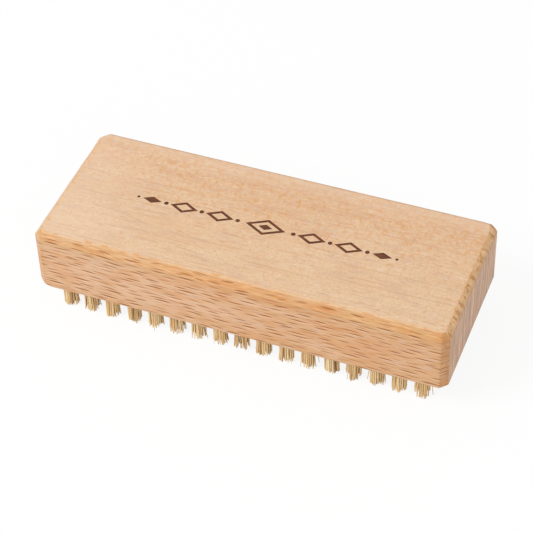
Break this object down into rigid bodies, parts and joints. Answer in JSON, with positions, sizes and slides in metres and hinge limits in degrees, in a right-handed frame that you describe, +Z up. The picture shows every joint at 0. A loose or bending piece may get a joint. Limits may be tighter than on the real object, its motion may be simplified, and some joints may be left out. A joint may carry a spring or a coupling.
{
  "type": "nail brush",
  "caption": "Wooden nail brush: a rectangular chamfered beech block with short, stiff fibre tufts set in a grid of drilled holes below.",
  "frame": {"origin": "centre of the footprint, on the surface that the trimmed bristle tips stand on", "axes": "+X along the block, +Y across it away from the long side shown in the picture, +Z up from the bristles to the back of the block"},
  "size_m": [0.11, 0.0436, 0.0258],
  "materials": {
    "beech": "planed and fine-sanded steamed beech, lightly oiled, satin",
    "fibre": "stiff straw-coloured plant fibre, trimmed, matt with a slight sheen",
    "anchor_wire": "galvanised flat steel wire"
  },
  "bodies": {
    "root": {"block": "beech", "tuft_row_01": "fibre", "tuft_row_02": "fibre", "tuft_row_03": "fibre", "tuft_row_04": "fibre", "tuft_row_05": "fibre", "tuft_row_06": "fibre", "tuft_row_07": "fibre", "tuft_row_08": "fibre", "tuft_row_09": "fibre", "tuft_row_10": "fibre", "tuft_row_11": "fibre", "tuft_row_12": "fibre", "tuft_row_13": "fibre", "tuft_row_14": "fibre", "tuft_row_15": "fibre", "tuft_row_16": "fibre", "tuft_row_17": "fibre", "anchor_row_01": "anchor_wire", "anchor_row_02": "anchor_wire", "anchor_row_03": "anchor_wire", "anchor_row_04": "anchor_wire", "anchor_row_05": "anchor_wire", "anchor_row_06": "anchor_wire", "anchor_row_07": "anchor_wire", "anchor_row_08": "anchor_wire", "anchor_row_09": "anchor_wire", "anchor_row_10": "anchor_wire", "anchor_row_11": "anchor_wire", "anchor_row_12": "anchor_wire", "anchor_row_13": "anchor_wire", "anchor_row_14": "anchor_wire", "anchor_row_15": "anchor_wire", "anchor_row_16": "anchor_wire", "anchor_row_17": "anchor_wire"}
  },
  "joints": []
}
